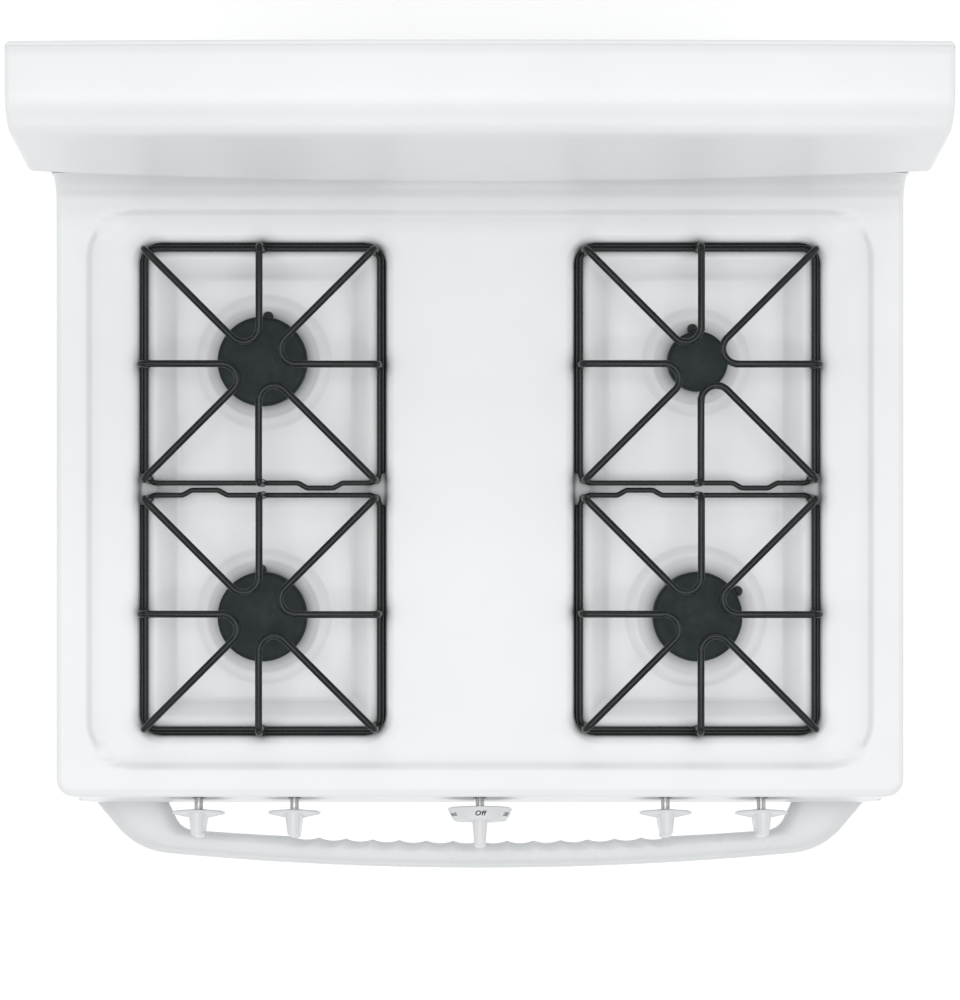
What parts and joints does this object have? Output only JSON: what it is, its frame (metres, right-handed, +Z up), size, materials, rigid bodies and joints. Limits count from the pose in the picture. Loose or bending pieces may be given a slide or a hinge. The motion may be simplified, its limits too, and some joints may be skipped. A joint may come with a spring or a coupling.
{
  "type": "freestanding gas range",
  "caption": "Freestanding white gas range with an oven, a drop-down windowed door, a broiler drawer, wire grates, capped burners, front knobs and a console at the back.",
  "frame": {"origin": "on the floor, under the middle of the whole range, handle and console included", "axes": "+Z up, the door faces -Y, +X to the right of someone facing the range"},
  "size_m": [0.762, 0.717, 1.187],
  "materials": {
    "white_enamel": "glossy white porcelain enamel",
    "grey_enamel": "speckled blue-grey oven enamel",
    "black_enamel": "matte black enamel",
    "grate_wire": "semi-gloss black enamel on wire",
    "galvanized": "zinc-coated sheet",
    "plated_steel": "dull plated steel",
    "burner_aluminium": "cast, matte",
    "burner_steel": "aluminised steel",
    "gas_brass": "machined",
    "gas_pipe": "dark steel pipe",
    "white_plastic": "moulded, fine satin gloss",
    "black_plastic": "moulded, matte",
    "black_ceramic": "sooted ceramic",
    "white_ceramic": "unglazed ceramic",
    "dark_glass": "dark printed window glass",
    "clear_glass": "clear heat-resisting glass",
    "rack_chrome": "bright plated wire",
    "fibreglass": "needled fibreglass blanket",
    "gasket_braid": "braided fibreglass seal"
  },
  "bodies": {
    "cabinet": {"base_frame": "galvanized", "left_side_panel": "white_enamel", "right_side_panel": "white_enamel", "rear_cover": "galvanized", "front_frame": "white_enamel", "oven_liner": "grey_enamel", "oven_floor": "grey_enamel", "oven_insulation": "fibreglass", "door_gasket": "gasket_braid", "flame_spreader": "burner_steel", "oven_burner": "burner_steel", "oven_igniter": "white_ceramic", "gas_safety_valve": "gas_brass", "gas_manifold": "gas_pipe", "pressure_regulator": "burner_aluminium", "burner_valves": "gas_brass", "oven_thermostat": "gas_brass", "spark_module": "black_plastic", "cooktop": "white_enamel", "burner_heads": "burner_aluminium", "spark_electrodes": "black_ceramic", "supply_tubes": "burner_aluminium", "control_panel": "white_enamel", "backguard_panel": "white_enamel", "backguard_rear": "galvanized", "flue_duct": "galvanized", "cover_screws": "plated_steel"},
    "door": {"door_outer_panel": "white_enamel", "door_glass": "dark_glass", "door_inner_glass": "clear_glass", "door_liner": "grey_enamel", "door_handle": "white_plastic", "door_hinges": "plated_steel"},
    "drawer": {"drawer_front": "white_enamel", "drawer_tray": "grey_enamel", "broiler_grid": "grey_enamel"},
    "low_rack": {"low_rack": "rack_chrome"},
    "high_rack": {"high_rack": "rack_chrome"},
    "stem_1": {"stem_1": "plated_steel"},
    "knob_1": {"knob_1": "white_plastic"},
    "stem_2": {"stem_2": "plated_steel"},
    "knob_2": {"knob_2": "white_plastic"},
    "stem_3": {"stem_3": "plated_steel"},
    "knob_3": {"knob_3": "white_plastic"},
    "stem_4": {"stem_4": "plated_steel"},
    "knob_4": {"knob_4": "white_plastic"},
    "oven_stem": {"oven_stem": "plated_steel"},
    "oven_knob": {"oven_knob": "white_plastic"},
    "grate_rear_left": {"grate_rear_left": "grate_wire"},
    "cap_rear_left": {"cap_rear_left": "black_enamel"},
    "grate_rear_right": {"grate_rear_right": "grate_wire"},
    "cap_rear_right": {"cap_rear_right": "black_enamel"},
    "grate_front_left": {"grate_front_left": "grate_wire"},
    "cap_front_left": {"cap_front_left": "black_enamel"},
    "grate_front_right": {"grate_front_right": "grate_wire"},
    "cap_front_right": {"cap_front_right": "black_enamel"},
    "leg_front_left": {"leg_front_left": "black_plastic"},
    "leg_front_right": {"leg_front_right": "black_plastic"},
    "leg_rear_left": {"leg_rear_left": "black_plastic"},
    "leg_rear_right": {"leg_rear_right": "black_plastic"}
  },
  "joints": [
    {"name": "door_hinge", "type": "hinge", "parent": "cabinet", "child": "door", "pos_m": [0, -0.28, 0.226], "axis": [1, 0, 0], "range_deg": [0, 90], "stiffness_Nm_per_rad": 10},
    {"name": "drawer_slide", "type": "slide", "parent": "cabinet", "child": "drawer", "axis": [0, -1, 0], "range_m": [0, 0.4]},
    {"name": "low_rack_slide", "type": "slide", "parent": "cabinet", "child": "low_rack", "axis": [0, -1, 0], "range_m": [0, 0.28]},
    {"name": "high_rack_slide", "type": "slide", "parent": "cabinet", "child": "high_rack", "axis": [0, -1, 0], "range_m": [0, 0.28]},
    {"name": "stem_1_turn", "type": "hinge", "parent": "cabinet", "child": "stem_1", "pos_m": [-0.2585, -0.28418, 0.855], "axis": [0, -0.9826, 0.1856], "range_deg": [0, 210]},
    {"name": "knob_1_push", "type": "slide", "parent": "stem_1", "child": "knob_1", "axis": [0, 0.9826, -0.1856], "range_m": [0, 0.003], "stiffness_N_per_m": 1200, "springref_m": -0.001},
    {"name": "stem_2_turn", "type": "hinge", "parent": "cabinet", "child": "stem_2", "pos_m": [-0.1705, -0.28418, 0.855], "axis": [0, -0.9826, 0.1856], "range_deg": [0, 210]},
    {"name": "knob_2_push", "type": "slide", "parent": "stem_2", "child": "knob_2", "axis": [0, 0.9826, -0.1856], "range_m": [0, 0.003], "stiffness_N_per_m": 1200, "springref_m": -0.001},
    {"name": "stem_3_turn", "type": "hinge", "parent": "cabinet", "child": "stem_3", "pos_m": [0.1705, -0.28418, 0.855], "axis": [0, -0.9826, 0.1856], "range_deg": [0, 210]},
    {"name": "knob_3_push", "type": "slide", "parent": "stem_3", "child": "knob_3", "axis": [0, 0.9826, -0.1856], "range_m": [0, 0.003], "stiffness_N_per_m": 1200, "springref_m": -0.001},
    {"name": "stem_4_turn", "type": "hinge", "parent": "cabinet", "child": "stem_4", "pos_m": [0.2585, -0.28418, 0.855], "axis": [0, -0.9826, 0.1856], "range_deg": [0, 210]},
    {"name": "knob_4_push", "type": "slide", "parent": "stem_4", "child": "knob_4", "axis": [0, 0.9826, -0.1856], "range_m": [0, 0.003], "stiffness_N_per_m": 1200, "springref_m": -0.001},
    {"name": "oven_stem_turn", "type": "hinge", "parent": "cabinet", "child": "oven_stem", "pos_m": [0, -0.28418, 0.855], "axis": [0, -0.9826, 0.1856], "range_deg": [0, 290]},
    {"name": "oven_knob_push", "type": "slide", "parent": "oven_stem", "child": "oven_knob", "axis": [0, 0.9826, -0.1856], "range_m": [0, 0.003], "stiffness_N_per_m": 1200, "springref_m": -0.001},
    {"name": "grate_rear_left_lift", "type": "slide", "parent": "cabinet", "child": "grate_rear_left", "axis": [0, 0, 1], "range_m": [0, 0.12]},
    {"name": "cap_rear_left_lift", "type": "slide", "parent": "cabinet", "child": "cap_rear_left", "axis": [0, 0, 1], "range_m": [0, 0.028]},
    {"name": "grate_rear_right_lift", "type": "slide", "parent": "cabinet", "child": "grate_rear_right", "axis": [0, 0, 1], "range_m": [0, 0.12]},
    {"name": "cap_rear_right_lift", "type": "slide", "parent": "cabinet", "child": "cap_rear_right", "axis": [0, 0, 1], "range_m": [0, 0.028]},
    {"name": "grate_front_left_lift", "type": "slide", "parent": "cabinet", "child": "grate_front_left", "axis": [0, 0, 1], "range_m": [0, 0.12]},
    {"name": "cap_front_left_lift", "type": "slide", "parent": "cabinet", "child": "cap_front_left", "axis": [0, 0, 1], "range_m": [0, 0.028]},
    {"name": "grate_front_right_lift", "type": "slide", "parent": "cabinet", "child": "grate_front_right", "axis": [0, 0, 1], "range_m": [0, 0.12]},
    {"name": "cap_front_right_lift", "type": "slide", "parent": "cabinet", "child": "cap_front_right", "axis": [0, 0, 1], "range_m": [0, 0.028]},
    {"name": "leg_front_left_level", "type": "slide", "parent": "cabinet", "child": "leg_front_left", "axis": [0, 0, -1], "range_m": [0, 0.02]},
    {"name": "leg_front_right_level", "type": "slide", "parent": "cabinet", "child": "leg_front_right", "axis": [0, 0, -1], "range_m": [0, 0.02]},
    {"name": "leg_rear_left_level", "type": "slide", "parent": "cabinet", "child": "leg_rear_left", "axis": [0, 0, -1], "range_m": [0, 0.02]},
    {"name": "leg_rear_right_level", "type": "slide", "parent": "cabinet", "child": "leg_rear_right", "axis": [0, 0, -1], "range_m": [0, 0.02]}
  ],
  "couplings": [
    {"joint": "low_rack_slide", "follows": "door_hinge", "m_per_rad": 0.178},
    {"joint": "high_rack_slide", "follows": "door_hinge", "m_per_rad": 0.178}
  ]
}
